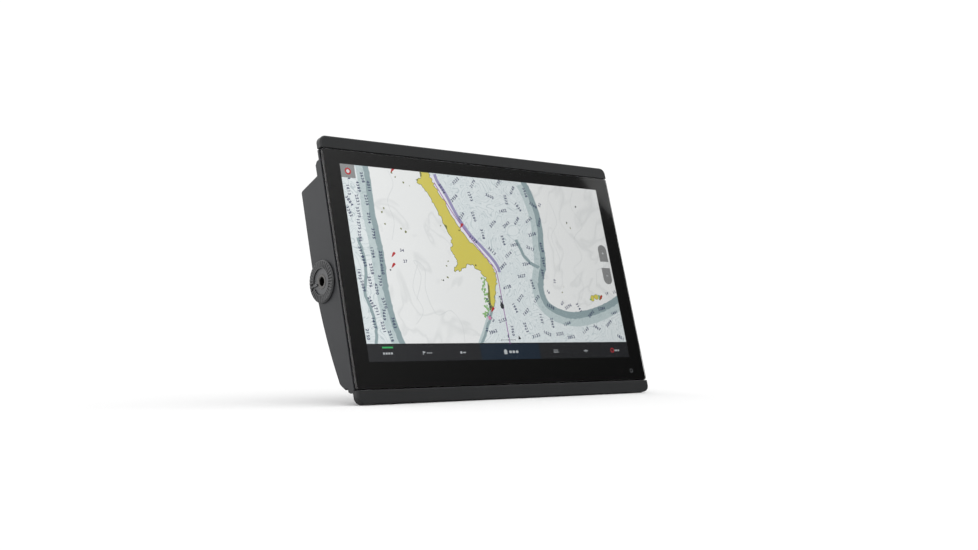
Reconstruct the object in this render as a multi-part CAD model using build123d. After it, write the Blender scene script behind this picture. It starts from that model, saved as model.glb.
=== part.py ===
from build123d import *
import math
import os

# Chartplotter display, 15.6 inch class, for panel or bail mounting.  Millimetres.
# Frame: X to the right seen from the front, Y to the back, Z up.  The origin is the
# middle of the plane on which the bezel's flange meets a panel.

# ---------------------------------------------------------------- driving dimensions
# Front
bezel_width = 384.0
bezel_height = 260.0
bezel_corner = 7.0
strip_height = 13.0
strip_proud = 0.4
strip_gap = 0.6
strip_skin = 1.5
strip_edge = 1.8
glass_thick = 2.5
glass_inset = 0.5
glass_corner = 3.0
mask_thick = 0.2
tape_thick = 1.9
tape_inset = 2.1
frame_thick = 2.4
frame_clear = 0.4
tongue_depth = 3.8

# Display module
active_width = 345.4
active_height = 194.3
active_z = 5.9
lcd_margin = 4.9
lcd_thick = 1.6
lcd_gap = 0.4
tray_margin = 0.5
tray_depth = 7.5
tray_wall = 0.8
sheet_thick = 1.0
sheet_gap = 0.1
sheet_clear = 0.2
module_clear = 0.6

# Rear housing, seen from the side
body_half_width = 184.0
body_top = 113.5
body_bottom = -117.0
step_depth = 18.0
deck_top = 99.0
deck_top_back = 93.5
body_depth = 49.5
body_curve_start = 25.0
toe_depth = 31.0
toe_z = -104.0
heel_z = -111.0
wall = 3.0
case_corner = 3.5
case_chamfer = 1.2
seal_width = 1.4
seal_height = 1.0

# Bail sockets on both sides
bail_y = 33.6
bail_z = -3.1
boss_length = 15.0
rosette_radius = 20.6
rosette_height = 2.6
rosette_chamfer = 1.2
rosette_land_radius = 12.8
rosette_land_height = 1.4
rosette_teeth = 36
rosette_tooth_depth = 0.7
rosette_tooth_width = 1.8
index_rib_width = 1.8
index_rib_reach = 17.0
index_rib_drop = 1.0
index_pocket_width = 2.2
insert_radius = 7.0
insert_flats = 14.0
insert_stand = 1.6
insert_length = 14.0
insert_end_gap = 0.5
insert_fit = 0.2
knob_thread_radius = 4.25
knob_thread_depth = 12.0
knob_lead_in = 0.6

# Fixings
press_clear = 0.02
thread_clear = 0.05
screw_radius = 2.0
screw_length = 12.0
screw_head_radius = 3.4
screw_head_height = 2.4
screw_hole_clear = 0.25
post_radius = 6.6
pillar_radius = 4.6
flush_hole_radius = 2.2
flush_hole_x = 178.0
flush_hole_z = 123.5
peg_radius = 1.5
peg_fit = 0.06
peg_columns = (30.0, 90.0, 150.0)

# Connector bay and connectors
bay_half_width = 128.0
bay_top = -30.0
bay_bottom = -93.0
bay_floor = 27.0
bay_corner = 4.0
bay_wall = 2.4
window_fit = 0.15
tray_flange = 3.0
flange_thick = 1.6
port_z = -62.0
port_pitch = 46.0
port_barrel = 12.0
port_flange = 2.0
port_flange_rim = 2.6
port_wall = 2.0
port_stem_inset = 1.0
port_stem = 7.0
port_stem_fit = 0.2
nut_rim = 3.0
nut_thick = 2.4
core_face = 4.0
pin_circle = 0.58
pin_reach = 4.5
cap_wall = 1.6
cap_clear = 0.3
cap_end_gap = 0.5

# Card bay on the back
card_x = -150.0
card_z = 60.0
card_width = 44.0
card_height = 39.0
card_depth = 12.0
card_wall = 1.6
door_thick = 2.4
door_gap = 0.6
door_pin_radius = 1.0
door_fit = 0.05
card_slot_pitch = 18.0
notch_radius = 5.0
notch_depth = 2.4

# Heat sink
sink_half_width = 118.0
sink_bottom = 26.0
sink_top = 88.0
sink_base = 3.5
sink_depth = 12.5
sink_fins = 17
sink_fin = 2.4

# Boards
board_thick = 1.6
board_y = 14.0
spacer_radius = 3.0
board_screw_radius = 1.25
chip_size = 31.0
chip_thick = 2.6
chip_z = 57.0
chassis_gap = 0.2
chassis_thick = 1.5

# Satellite aerial under the deck
gnss_x = 136.0
gnss_board_width = 32.0
gnss_board_depth = 26.0
gnss_board_thick = 1.2
gnss_patch_size = 25.0
gnss_patch_thick = 4.0
gnss_gap = 0.5
gnss_room = 8.5

# ---------------------------------------------------------------- derived places
frame_front = -frame_thick
tape_front = frame_front - tape_thick
mask_front = tape_front - mask_thick
glass_front = mask_front - glass_thick
strip_front = glass_front - strip_proud
glass_width = bezel_width - 2 * glass_inset
glass_height = bezel_height - 2 * strip_height
lcd_front = mask_front + lcd_gap
lcd_back = lcd_front + lcd_thick
lcd_width = active_width + 2 * lcd_margin
lcd_height = active_height + 2 * lcd_margin
tray_width = lcd_width + 2 * tray_margin
tray_height = lcd_height + 2 * tray_margin
tray_back = lcd_back + tray_depth
opening_width = tray_width + 2 * module_clear
opening_height = tray_height + 2 * module_clear
opening_top = active_z + opening_height / 2
opening_bottom = active_z - opening_height / 2
chassis_front = tray_back + chassis_gap
chassis_back = chassis_front + chassis_thick
board_back = board_y + board_thick
inner_half_width = body_half_width - wall
inner_top = body_top - wall
inner_bottom = body_bottom + wall
ledge_inner = step_depth - wall
back_inner = body_depth - wall
screw_z = heel_z + 5.5
screw_columns = (-168.0, -84.0, 0.0, 84.0, 168.0)
ledge_screw_z = (deck_top + body_top) / 2 - 3.0
ledge_columns = (-160.0, 0.0, 160.0)
curve_drop = body_depth - toe_depth
curve_run = body_curve_start - toe_z
curve_radius = (curve_run**2 + curve_drop**2) / (2 * curve_drop)
flush_holes = [(x, z) for x in (-flush_hole_x, 0.0, flush_hole_x) for z in (-flush_hole_z, flush_hole_z)]
key_x = 171.4
key_z = -106.2
key_ring = 2.3
key_line = 0.5
key_pocket_width = 30.0
key_pocket_height = 11.0
key_board_edge = 1.0
key_board_thick = 0.8
key_guide_radius = 3.8
sensor_size = 3.0
sensor_x = 156.1
pocket_middle = (key_x + sensor_x) / 2
card_slot_places = (card_x - card_slot_pitch / 2, card_x + card_slot_pitch / 2)
tray_inside = (tray_width - 2 * tray_wall, tray_height - 2 * tray_wall)

# Connectors from left to right, seen from the front: name, barrel radius, pin radius, pin count
ports = (
    ("power_port", 10.0, 1.2, 4),
    ("bus_port", 7.5, 0.6, 5),
    ("network_port_a", 9.0, 0.6, 8),
    ("network_port_b", 9.0, 0.6, 8),
    ("sonar_port", 11.5, 0.7, 12),
)


# ---------------------------------------------------------------- helpers
def block(x0, x1, y0, y1, z0, z1):
    """A box between two corners."""
    size = Box(x1 - x0, y1 - y0, z1 - z0)
    return Pos((x0 + x1) / 2, (y0 + y1) / 2, (z0 + z1) / 2) * size


def slab(width, height, corner, front, back, z=0.0, x=0.0):
    """A plate in the plane of the screen, with rounded corners."""
    flat = extrude(RectangleRounded(width, height, corner), amount=back - front)
    return Pos(x, back, z) * Rot(90, 0, 0) * flat


def rod(x, z, radius, front, back):
    """A round bar along Y."""
    return Pos(x, (front + back) / 2, z) * Rot(90, 0, 0) * Cylinder(radius, back - front)


def rod_x(y, z, radius, x0, x1):
    """A round bar along X."""
    return Pos((x0 + x1) / 2, y, z) * Rot(0, 90, 0) * Cylinder(radius, x1 - x0)


def hex_x(y, z, flats, x0, x1):
    """A six-sided bar along X, measured across its flats."""
    outline = RegularPolygon(flats / 2, 6, major_radius=False)
    return Pos(x0, y, z) * Rot(0, 90, 0) * extrude(outline, amount=x1 - x0)


def tube(x, z, outer, inner, front, back):
    """A round tube along Y."""
    return rod(x, z, outer, front, back) - rod(x, z, inner, front - 1, back + 1)


def screw(x, z, seat, radius=screw_radius, length=screw_length, toward=-1):
    """A pan-head screw whose head seats at y=seat; the shank runs towards the front."""
    head_radius = radius * screw_head_radius / screw_radius
    head_height = radius * screw_head_height / screw_radius
    shank = rod(x, z, radius, seat - length, seat)
    head = rod(x, z, head_radius, seat, seat + head_height)
    head = fillet(head.edges().filter_by(GeomType.CIRCLE).sort_by(Axis.Y)[-1], head_height * 0.3)
    drive = Pos(x, seat + head_height, z) * Rot(90, 0, 0) * Box(radius * 1.8, radius * 0.35, head_height)
    cross = Pos(x, seat + head_height, z) * Rot(90, 0, 0) * Box(radius * 0.35, radius * 1.8, head_height)
    return shank + head - drive - cross


def back_at(z):
    """Depth of the back wall's outside at height z."""
    if z >= body_curve_start:
        return body_depth
    run = body_curve_start - z
    return body_depth - curve_radius + math.sqrt(curve_radius**2 - run**2)


def port_x(number):
    return (number - (len(ports) - 1) / 2) * port_pitch


# ---------------------------------------------------------------- front
def make_front_glass():
    glass = slab(glass_width, glass_height, glass_corner, glass_front, mask_front)
    edge = glass.faces().sort_by(Axis.Y)[0].edges()
    return chamfer(edge, 0.5)


def power_symbol(front, back):
    """A ring, open at the top, with a bar in the gap."""
    ring = tube(key_x, key_z, key_ring, key_ring - key_line, front, back)
    gap = block(key_x - 1.5 * key_line, key_x + 1.5 * key_line, front - 1, back + 1, key_z, key_z + 4)
    half = key_line / 2
    bar = block(key_x - half, key_x + half, front, back, key_z + half, key_z + key_ring + half)
    return ring - gap + bar


def make_border_mask():
    outer = slab(glass_width - 0.6, glass_height - 0.6, glass_corner - 0.3, mask_front, tape_front)
    window = slab(active_width, active_height, 0.3, mask_front - 1, tape_front + 1, active_z)
    eye = rod(sensor_x, key_z, 1.1, mask_front - 1, tape_front + 1)
    return outer - window - eye - power_symbol(mask_front - 1, tape_front + 1)


def key_pocket(front, back):
    return slab(key_pocket_width, key_pocket_height, 2.0, front, back, key_z, pocket_middle)


def make_bond_tape():
    outer = slab(bezel_width - 2 * tape_inset, glass_height - 3.0, 1.0, tape_front, frame_front)
    window = slab(opening_width, opening_height, 0.5, tape_front - 1, frame_front + 1, active_z)
    return outer - window - key_pocket(tape_front - 1, frame_front + 1)


def make_front_frame():
    middle = slab(bezel_width, glass_height, 1.0, frame_front, 0.0)
    rim = 2 * (strip_skin + frame_clear)
    ends = slab(bezel_width - rim, bezel_height - rim, bezel_corner - 1.5, frame_front, 0.0)
    frame = middle + ends
    frame -= slab(opening_width, opening_height, 0.5, frame_front - 1, 1.0, active_z)
    tongue = block(-150, 150, 0.0, tongue_depth, opening_top, inner_top - frame_clear)
    frame += tongue
    for x in screw_columns:
        frame += rod(x, screw_z, pillar_radius, -0.5, ledge_inner)
        frame -= rod(x, screw_z, screw_radius + thread_clear, ledge_inner - screw_length + 2, step_depth)
    for x, z in flush_holes:
        frame -= rod(x, z, flush_hole_radius, frame_front - 1, 1.0)
    for x in peg_columns:
        for sx in (-1, 1):
            for sz in (-1, 1):
                frame -= rod(sx * x, sz * flush_hole_z, peg_radius + peg_fit, frame_front - 1, 1.0)
    return frame


def make_strip(side):
    """Clip-on trim strip over the flush screws; side is +1 for the top, -1 for the bottom."""
    outer = slab(bezel_width, bezel_height, bezel_corner, strip_front, -0.2)
    outer = fillet(outer.faces().sort_by(Axis.Y)[0].edges(), strip_edge)
    inner_edge = glass_height / 2 + strip_gap
    strip = outer & block(-bezel_width, bezel_width, -20, 20, inner_edge, bezel_height)
    strip = chamfer(strip.faces().sort_by(Axis.Z)[0].edges().sort_by(Axis.Y)[0], 0.4)
    rim = 2 * strip_skin
    hollow = slab(bezel_width - rim, bezel_height - rim, bezel_corner - 1.5, strip_front + strip_skin, 1.0)
    strip -= hollow & block(-bezel_width, bezel_width, -20, 20, inner_edge + strip_skin, bezel_height)
    strip -= hollow & block(-bezel_width, bezel_width, frame_front - 0.1, 20, 0, bezel_height)
    for x in peg_columns:
        for sx in (-1, 1):
            strip += rod(sx * x, flush_hole_z, peg_radius, strip_front + strip_skin - 0.2, -0.3)
    if side < 0:
        strip = mirror(strip, about=Plane.XY)
    return strip


def make_key_board():
    width = key_pocket_width - 2 * key_board_edge
    height = key_pocket_height - 2 * key_board_edge
    return slab(width, height, 1.0, frame_front - key_board_thick, frame_front, key_z, pocket_middle)


def make_light_sensor():
    back = frame_front - key_board_thick
    return slab(sensor_size, sensor_size, 0.3, tape_front + 0.1, back, key_z, sensor_x)


def make_power_key_guide():
    return rod(key_x, key_z, key_guide_radius, tape_front, frame_front - key_board_thick)


# ---------------------------------------------------------------- display module
def make_lcd_panel():
    return slab(lcd_width, lcd_height, 0.5, lcd_front, lcd_back, active_z)


def make_backlight_tray():
    tray = slab(tray_width, tray_height, 1.0, lcd_back, tray_back, active_z)
    return tray - slab(*tray_inside, 0.5, lcd_back - 1, tray_back - tray_wall, active_z)


def make_light_guide():
    width, height = (size - 2 * sheet_clear for size in tray_inside)
    return slab(width, height, 0.4, lcd_back + sheet_thick + sheet_gap, tray_back - tray_wall, active_z)


def make_diffuser_sheet():
    width, height = (size - 2 * sheet_clear for size in tray_inside)
    return slab(width, height, 0.4, lcd_back, lcd_back + sheet_thick, active_z)


def make_chassis_plate():
    bottom = opening_bottom + 2.0
    top = inner_top - frame_clear - 2.0
    plate = block(-inner_half_width + 4, inner_half_width - 4, chassis_front, chassis_back, bottom, top)
    for x in screw_columns:
        plate += block(x - 9, x + 9, chassis_front, chassis_back, screw_z - 5.5, bottom + 1)
        plate -= rod(x, screw_z, pillar_radius + frame_clear, chassis_front - 1, chassis_back + 1)
    for x in ledge_columns:
        plate += rod(x, ledge_screw_z, 4.0, chassis_front, ledge_inner)
        plate -= rod(x, ledge_screw_z, screw_radius + thread_clear, chassis_front - 1, ledge_inner + 1)
    plate -= slab(64, 8, 1.0, chassis_front - 1, chassis_back + 1, ribbon_z, ribbon_x)
    for x, z in spacer_places:
        plate -= rod(x, z, board_screw_radius + thread_clear, chassis_front - 1, chassis_back + 1)
    return plate


# ---------------------------------------------------------------- rear housing
def side_profile():
    """Outline of the housing in the Y-Z plane, from the front rim to the back wall."""
    foot_y = step_depth
    edges = Line((0, body_bottom), (0, body_top))
    edges += Line((0, body_top), (step_depth - 3, body_top - 1.5))
    edges += Line((step_depth - 3, body_top - 1.5), (step_depth, body_top - 4.5))
    edges += Line((step_depth, body_top - 4.5), (step_depth, deck_top))
    edges += Line((step_depth, deck_top), (body_depth, deck_top_back))
    edges += Line((body_depth, deck_top_back), (body_depth, body_curve_start))
    middle_z = (body_curve_start + toe_z) / 2
    edges += ThreePointArc((body_depth, body_curve_start), (back_at(middle_z), middle_z), (toe_depth, toe_z))
    edges += Line((toe_depth, toe_z), (foot_y + 6, heel_z + 0.5))
    edges += Line((foot_y + 6, heel_z + 0.5), (foot_y, heel_z))
    edges += Line((foot_y, heel_z), (foot_y, body_bottom + 3))
    edges += Line((foot_y, body_bottom + 3), (foot_y - 3, body_bottom + 1.2))
    edges += Line((foot_y - 3, body_bottom + 1.2), (0, body_bottom))
    return make_face(edges)


def rounded_body():
    """The housing's outside as a solid, with its edges eased."""
    body = extrude(Plane.YZ * side_profile(), amount=body_half_width, both=True)
    back_edges = body.edges().filter_by(Axis.X).filter_by(
        lambda e: e.center().Y > toe_depth - 1 and abs(e.center().Z - body_curve_start) > 5
    )
    body = fillet(back_edges, case_corner)
    ends = body.faces().filter_by(Axis.X)
    trailing = [e for e in ends.edges() if e.center().Y > step_depth + 1]
    return chamfer(trailing, case_chamfer)


def inner_cavity():
    """The hollow inside the housing, open at the front."""
    inside = offset(side_profile(), amount=-wall, kind=Kind.INTERSECTION)
    cavity = extrude(Plane.YZ * inside, amount=inner_half_width, both=True)
    mouth = block(-inner_half_width, inner_half_width, -1, wall + 1, inner_bottom, inner_top)
    return cavity + mouth


def port_bay_box(grow, front, back):
    """The connector bay's room, grown on its four sides."""
    width = 2 * (bay_half_width + grow)
    height = bay_top - bay_bottom + 2 * grow
    return slab(width, height, bay_corner + grow, front, back, (bay_top + bay_bottom) / 2)


def card_bay_box(grow, front, back):
    """The card bay's room, grown on its four sides."""
    half_width = card_width / 2 + grow
    half_height = card_height / 2 + grow
    x0, x1 = card_x - half_width, card_x + half_width
    return block(x0, x1, front, back, card_z - half_height, card_z + half_height)


def flange_behind(box, tray_wall_thick):
    """Flange that laps the back wall's inside around a tray's window."""
    layer = inner_cavity() - Pos(0, -flange_thick, 0) * inner_cavity()
    return layer & box(tray_wall_thick + tray_flange, bay_floor, body_depth)


def door_pin_place():
    y = body_depth - door_thick / 2 - 0.8
    z = card_z + card_height / 2 - door_gap - 2.1
    return y, z


def make_rear_housing():
    """Casting: a stepped shell, open at the front, with windows for the two bay trays."""
    body = rounded_body()
    shell = body - inner_cavity()
    for x in screw_columns:
        shell += body & rod(x, screw_z, post_radius, ledge_inner, body_depth)
    left = bail_boss() - bail_seat()
    right = mirror(left, about=Plane.YZ)
    shell += left + right
    shell -= bail_seat() + mirror(bail_seat(), about=Plane.YZ)
    shell -= port_bay_box(bay_wall + window_fit, bay_floor, body_depth + 1)
    shell -= card_bay_box(card_wall + window_fit, back_inner - 1, body_depth + 1)
    shell -= thumb_notch()
    for x in screw_columns:
        shell -= rod(x, screw_z, screw_head_radius + 0.5, step_depth, body_depth + 1)
        shell -= rod(x, screw_z, screw_radius + screw_hole_clear, ledge_inner - 1, step_depth + 1)
    for x in ledge_columns:
        shell -= rod(x, ledge_screw_z, screw_radius + screw_hole_clear, ledge_inner - 1, step_depth + 1)
    for x, z in sink_screw_places:
        shell -= rod(x, z, screw_radius + thread_clear, back_inner - 1, body_depth + 1)
    shell -= rod(*vent_place, vent_stem, back_inner - 1, body_depth + 1)
    ground_front = back_inner - ground_boss_height
    shell += rod(*ground_place, ground_boss_radius, ground_front, back_inner + 0.5)
    shell -= rod(*ground_place, screw_radius + thread_clear, ground_front - 1, body_depth + 1)
    return shell - seal_ring()


def make_connector_tray():
    """Moulded tray in the back wall's wide window; its floor holds the connectors."""
    tray = rounded_body() & port_bay_box(bay_wall, bay_floor - bay_wall, body_depth)
    tray += flange_behind(port_bay_box, bay_wall)
    tray -= port_bay_box(0, bay_floor, body_depth + 1)
    for number, port in enumerate(ports):
        stem = port[1] - port_stem_inset + port_stem_fit
        tray -= rod(port_x(number), port_z, stem, bay_floor - bay_wall - 1, bay_floor + 1)
    return tray


def make_card_tray():
    """Moulded tray in the back wall's small window; it carries the card door's pin."""
    floor = body_depth - card_depth
    tray = card_bay_box(card_wall, floor - card_wall, body_depth)
    tray += flange_behind(card_bay_box, card_wall)
    tray -= card_bay_box(0, floor, body_depth + 1)
    for x in card_slot_places:
        tray -= block(x - 6.2, x + 6.2, floor - card_wall - 1, floor + 1, card_z + 1, card_z + 2.8)
    pin_y, pin_z = door_pin_place()
    half = card_width / 2 + card_wall - 0.3
    tray -= rod_x(pin_y, pin_z, door_pin_radius + press_clear, card_x - half, card_x + half)
    return tray - thumb_notch()


def seal_ring():
    middle = (body_top + body_bottom) / 2
    height = body_top - body_bottom
    gap = (wall - seal_width) / 2
    outer = slab(2 * (body_half_width - gap), height - 2 * gap, 2.0, 0.0, seal_height, middle)
    inner = slab(2 * (inner_half_width + gap), height - 2 * (wall - gap), 1.0, -1.0, seal_height + 1, middle)
    return outer - inner


def thumb_notch():
    """A finger scoop under the card door's lower edge."""
    y = body_depth + notch_radius - notch_depth
    return rod_x(y, card_z - card_height / 2, notch_radius, card_x - 8.0, card_x + 8.0)


# ---------------------------------------------------------------- bail sockets
def bail_boss():
    """Round lug at the left wall that backs the toothed ring and holds the threaded bush."""
    return rod_x(bail_y, bail_z, rosette_radius, -body_half_width, boss_length - body_half_width)


def bail_seat():
    """Six-sided pocket for the bush, so that a tight knob can't turn it."""
    end = -body_half_width - insert_stand + insert_length + insert_end_gap
    return hex_x(bail_y, bail_z, insert_flats + 2 * press_clear, -body_half_width - 1, end)


def rosette_blank():
    """The toothed ring before its teeth: a chamfered rim, a flat face and a sunk land around the bush."""
    seat = -body_half_width
    face = seat - rosette_height
    ring = rod_x(bail_y, bail_z, rosette_radius, face, seat)
    outer_edge = ring.edges().filter_by(GeomType.CIRCLE).sort_by(Axis.X)[0]
    ring = chamfer(outer_edge, rosette_chamfer)
    return ring - rod_x(bail_y, bail_z, rosette_land_radius, face - 1, seat - rosette_land_height)


def rosette_notch():
    """Vee groove across the ring's face, to be turned about its axis."""
    half = rosette_tooth_width / 2
    vee = Polyline((-half, 0), (half, 0), (0, rosette_tooth_depth + 0.1), close=True)
    groove = extrude(make_face(vee), amount=rosette_radius - rosette_land_radius + 1.0)
    face = -body_half_width - rosette_height
    return Pos(face - 0.1, 0, rosette_land_radius + 0.8) * Rot(0, 0, -90) * groove


def index_rib(face, land):
    """Straight rib from the bush toward the back, and the recess on either side of it."""
    z = bail_z - index_rib_drop
    half = index_rib_width / 2
    y1 = bail_y + index_rib_reach
    pocket = half + index_pocket_width
    recess = block(face - 1, land, bail_y + rosette_land_radius - 1, y1, z - pocket, z + pocket)
    rib = block(face, land + 0.2, bail_y + insert_radius, y1 + 0.2, z - half, z + half)
    return rib, recess


def make_rosette(side):
    """Toothed ring that a bail bracket's arm grips; built on the left and mirrored."""
    seat = -body_half_width
    face = seat - rosette_height
    rib, recess = index_rib(face, seat - rosette_land_height)
    ring = rosette_blank()
    notch = rosette_notch()
    for tooth in range(rosette_teeth):
        turn = Rot(360.0 * (tooth + 0.5) / rosette_teeth, 0, 0)
        ring -= Pos(0, bail_y, bail_z) * turn * notch
    ring = ring - recess + rib
    ring -= rod_x(bail_y, bail_z, insert_radius + insert_fit, face - 1, seat + 1)
    if side > 0:
        ring = mirror(ring, about=Plane.YZ)
    return ring


def make_bail_insert(side):
    """Threaded bush for the bail knob: six-sided in its lug, round outside, closed at its inner end."""
    outer = -(body_half_width + insert_stand)
    bush = rod_x(bail_y, bail_z, insert_radius, outer, -body_half_width)
    bush += hex_x(bail_y, bail_z, insert_flats, -body_half_width, outer + insert_length)
    bush -= rod_x(bail_y, bail_z, knob_thread_radius, outer - 1, outer + knob_thread_depth)
    mouth = bush.edges().filter_by(GeomType.CIRCLE).group_by(Axis.X)[0].sort_by(SortBy.RADIUS)[0]
    bush = chamfer(mouth, knob_lead_in)
    if side > 0:
        bush = mirror(bush, about=Plane.YZ)
    return bush


# ---------------------------------------------------------------- connectors
def port_inner(barrel):
    return barrel - port_wall


def make_port(number):
    """Round panel connector: barrel, flange outside the bay floor and a stem through it."""
    barrel = ports[number][1]
    x = port_x(number)
    mouth = bay_floor + port_flange + port_barrel
    body = rod(x, port_z, barrel, bay_floor, mouth)
    lead = body.edges().filter_by(GeomType.CIRCLE).sort_by(Axis.Y)[-1]
    body = chamfer(lead, 0.5)
    body += rod(x, port_z, barrel + port_flange_rim, bay_floor, bay_floor + port_flange)
    body += rod(x, port_z, barrel - port_stem_inset, bay_floor - port_stem, bay_floor + 1)
    body -= rod(x, port_z, port_inner(barrel), bay_floor - port_stem - 1, mouth + 1)
    for groove in range(4):
        y = bay_floor + port_flange + 2.0 + 2.4 * groove
        body -= tube(x, port_z, barrel + 1, barrel - 0.5, y, y + 1.0)
    return body


def make_port_insulators():
    """Moulded cores whose square holes grip the round pins on four flats."""
    cores = []
    for number, (_, barrel, pin, _) in enumerate(ports):
        x = port_x(number)
        radius = port_inner(barrel) - press_clear
        core = rod(x, port_z, radius, bay_floor - port_stem - 1, bay_floor + core_face)
        for px, pz in pin_places(number):
            half = pin + press_clear
            core -= block(px - half, px + half, 0, 60, pz - half, pz + half)
        cores.append(core)
    return Compound(children=cores)


def pin_places(number):
    _, barrel, _, count = ports[number]
    ring = port_inner(barrel) * pin_circle
    places = []
    for index in range(count):
        turn = math.tau * (index + 0.5) / count
        places.append((port_x(number) + ring * math.sin(turn), port_z + ring * math.cos(turn)))
    return places


def make_port_pins():
    pins = []
    for number, (_, _, pin, _) in enumerate(ports):
        for x, z in pin_places(number):
            shaft = rod(x, z, pin, board_back, bay_floor + core_face + pin_reach)
            tip = shaft.edges().filter_by(GeomType.CIRCLE).sort_by(Axis.Y)[-1]
            pins.append(chamfer(tip, pin * 0.4))
    return Compound(children=pins)


def make_port_nuts():
    nuts = []
    for number, port in enumerate(ports):
        stem = port[1] - port_stem_inset
        nut = extrude(RegularPolygon(stem + nut_rim, 6), amount=nut_thick)
        nut = Pos(port_x(number), bay_floor - bay_wall, port_z) * Rot(90, 0, 0) * nut
        nuts.append(nut - rod(port_x(number), port_z, stem + thread_clear, 0, 60))
    return Compound(children=nuts)


def make_port_cap(number):
    """Rubber weather cap over one connector, with a ribbed skirt and a pull tab."""
    barrel = ports[number][1]
    x = port_x(number)
    skirt = bay_floor + port_flange + cap_clear
    mouth = bay_floor + port_flange + port_barrel
    end = mouth + cap_end_gap + cap_wall
    outer = barrel + cap_clear + cap_wall
    cap = rod(x, port_z, outer, skirt, end)
    top = cap.edges().filter_by(GeomType.CIRCLE).sort_by(Axis.Y)[-1]
    cap = fillet(top, 1.2)
    tab = slab(7.0, 9.0, 3.0, end - 2.0, end, port_z + outer + 1.5, x)
    cap += tab
    ribs = max(12, int(outer * 1.6))
    for index in range(ribs):
        turn = math.tau * index / ribs
        rib_x = x + outer * math.sin(turn)
        rib_z = port_z + outer * math.cos(turn)
        cap += rod(rib_x, rib_z, 0.5, skirt, end - 2.5)
    cap -= rod(x, port_z, barrel + cap_clear, skirt - 1, end - cap_wall)
    return cap


# ---------------------------------------------------------------- card bay
def make_card_door():
    """Flush door hinged along its top edge."""
    pin_y, pin_z = door_pin_place()
    half = card_width / 2 - door_gap
    bottom = card_z - card_height / 2 + door_gap
    plate = block(card_x - half, card_x + half, body_depth - door_thick, body_depth, bottom, pin_z)
    plate = fillet(plate.edges().filter_by(Axis.Y).sort_by(Axis.Z)[:2], 2.0)
    plate += rod_x(pin_y, pin_z, 1.9, card_x - half, card_x + half)
    inside = body_depth - door_thick
    plate += block(card_x - 6, card_x + 6, inside - 2.5, inside, bottom + 3, bottom + 4.2)
    return plate - rod_x(pin_y, pin_z, door_pin_radius + door_fit, card_x - half - 1, card_x + half + 1)


def make_card_door_seal():
    """Rubber ring bonded inside the door."""
    _, pin_z = door_pin_place()
    bottom = card_z - card_height / 2 + door_gap + 5.5
    top = pin_z - 3.5
    width = card_width - 2 * door_gap - 6
    back = body_depth - door_thick
    outer = slab(width, top - bottom, 3.0, back - 1.2, back, (top + bottom) / 2, card_x)
    inner = slab(width - 4, top - bottom - 4, 1.5, back - 3, back + 1, (top + bottom) / 2, card_x)
    return outer - inner


def make_card_door_pin():
    pin_y, pin_z = door_pin_place()
    half = card_width / 2 + card_wall - 0.5
    return rod_x(pin_y, pin_z, door_pin_radius, card_x - half, card_x + half)


def make_card_board():
    back = body_depth - card_depth - card_wall - 0.4
    return block(card_x - 19, card_x + 19, back - 18, back, card_z - 0.8, card_z + 0.4)


def make_card_sockets():
    back = body_depth - card_depth - card_wall - 0.4
    sockets = []
    for x in card_slot_places:
        shell = block(x - 7.2, x + 7.2, back - 15, back, card_z + 0.4, card_z + 3.4)
        slot = block(x - 6.0, x + 6.0, back - 14, back + 1, card_z + 1.0, card_z + 2.8)
        sockets.append(shell - slot)
    return Compound(children=sockets)


# ---------------------------------------------------------------- back
sink_screw_x = sink_half_width - 7
sink_screw_places = [(x, z) for x in (-sink_screw_x, sink_screw_x) for z in (sink_bottom + 7, sink_top - 7)]
vent_place = (152.0, 66.0)
vent_radius = 6.5
vent_height = 2.0
vent_stem = 4.0
ground_place = (152.0, 40.0)
ground_boss_radius = 5.0
ground_boss_height = 6.0


def make_heat_sink():
    width = 2 * sink_half_width
    height = sink_top - sink_bottom
    middle = (sink_top + sink_bottom) / 2
    sink = slab(width, height, 4.0, body_depth, body_depth + sink_base, middle)
    pitch = (width - 34 - sink_fin) / (sink_fins - 1)
    for fin in range(sink_fins):
        x = -sink_half_width + 17 + sink_fin / 2 + pitch * fin
        x0, x1 = x - sink_fin / 2, x + sink_fin / 2
        blade = block(x0, x1, body_depth + 1, body_depth + sink_depth, sink_bottom + 3, sink_top - 3)
        tip = blade.edges().filter_by(Axis.X).group_by(Axis.Y)[-1]
        sink += fillet(tip, 4.0)
    for x, z in sink_screw_places:
        sink -= rod(x, z, screw_radius + 0.3, body_depth - 1, body_depth + 20)
    return sink


def make_heat_sink_screws():
    seat = body_depth + sink_base
    return Compound(children=[screw(x, z, seat, length=sink_base + wall + 3) for x, z in sink_screw_places])


def make_vent_plug():
    plug = rod(*vent_place, vent_radius, body_depth, body_depth + vent_height)
    rim = plug.edges().filter_by(GeomType.CIRCLE).sort_by(Axis.Y)[-1]
    plug = fillet(rim, 0.8)
    plug += rod(*vent_place, vent_stem - press_clear, back_inner, body_depth + 1)
    for turn in range(3):
        angle = math.tau * turn / 3
        x = vent_place[0] + 3.0 * math.sin(angle)
        z = vent_place[1] + 3.0 * math.cos(angle)
        plug -= rod(x, z, 0.7, body_depth + 1.0, body_depth + 3)
    return plug


def make_ground_screw():
    x, z = ground_place
    return screw(x, z, body_depth, length=9.0)


def make_case_screws():
    low = [screw(x, screw_z, step_depth) for x in screw_columns]
    high = [screw(x, ledge_screw_z, step_depth) for x in ledge_columns]
    return Compound(children=low + high)


# ---------------------------------------------------------------- boards
main_box = (-65.0, 115.0, -20.0, 80.0)
power_box = (-166.0, -78.0, -24.0, 30.0)
port_box = (-120.0, 120.0, -90.0, -34.0)
ribbon_x = 20.0
ribbon_z = -27.0


def corners(box, inset):
    x0, x1, z0, z1 = box
    return [(x, z) for x in (x0 + inset, x1 - inset) for z in (z0 + inset, z1 - inset)]


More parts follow.
